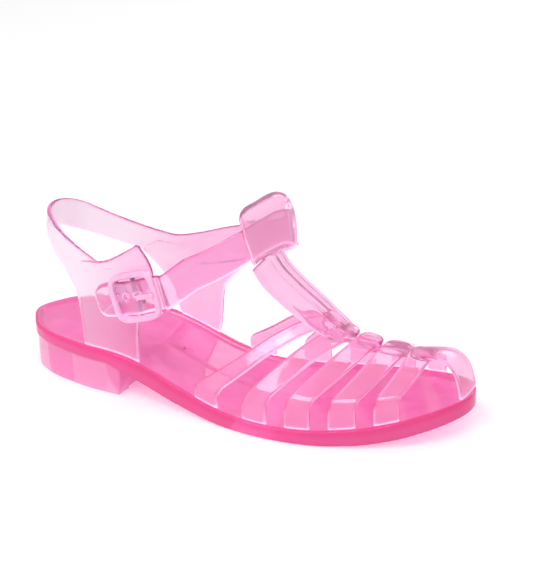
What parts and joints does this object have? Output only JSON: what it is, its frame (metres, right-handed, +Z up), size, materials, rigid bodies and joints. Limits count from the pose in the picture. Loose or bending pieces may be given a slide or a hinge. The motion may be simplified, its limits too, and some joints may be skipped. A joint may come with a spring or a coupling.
{
  "type": "jelly sandal",
  "caption": "Clear moulded jelly sandal for the right foot, with a caged toe, T-bar, slingback collar, low heel and a buckled ankle strap.",
  "frame": {"origin": "middle of the bounding box's floor face, under the arch", "axes": "+X along the sole to the toe, +Y to the inner side of the foot, +Z up"},
  "size_m": [0.2498, 0.0861, 0.1113],
  "materials": {
    "sole": "clear hot pink soft PVC, glossy",
    "upper": "clear pink soft PVC, glossy",
    "buckle_frame": "pale pink moulded plastic, glossy",
    "buckle_pin": "plain steel pin",
    "buckle_prong": "pale pink moulded plastic, glossy"
  },
  "bodies": {
    "root": {"sole": "sole", "upper": "upper", "buckle_frame": "buckle_frame", "buckle_pin": "buckle_pin", "buckle_prong": "buckle_prong"}
  },
  "joints": []
}
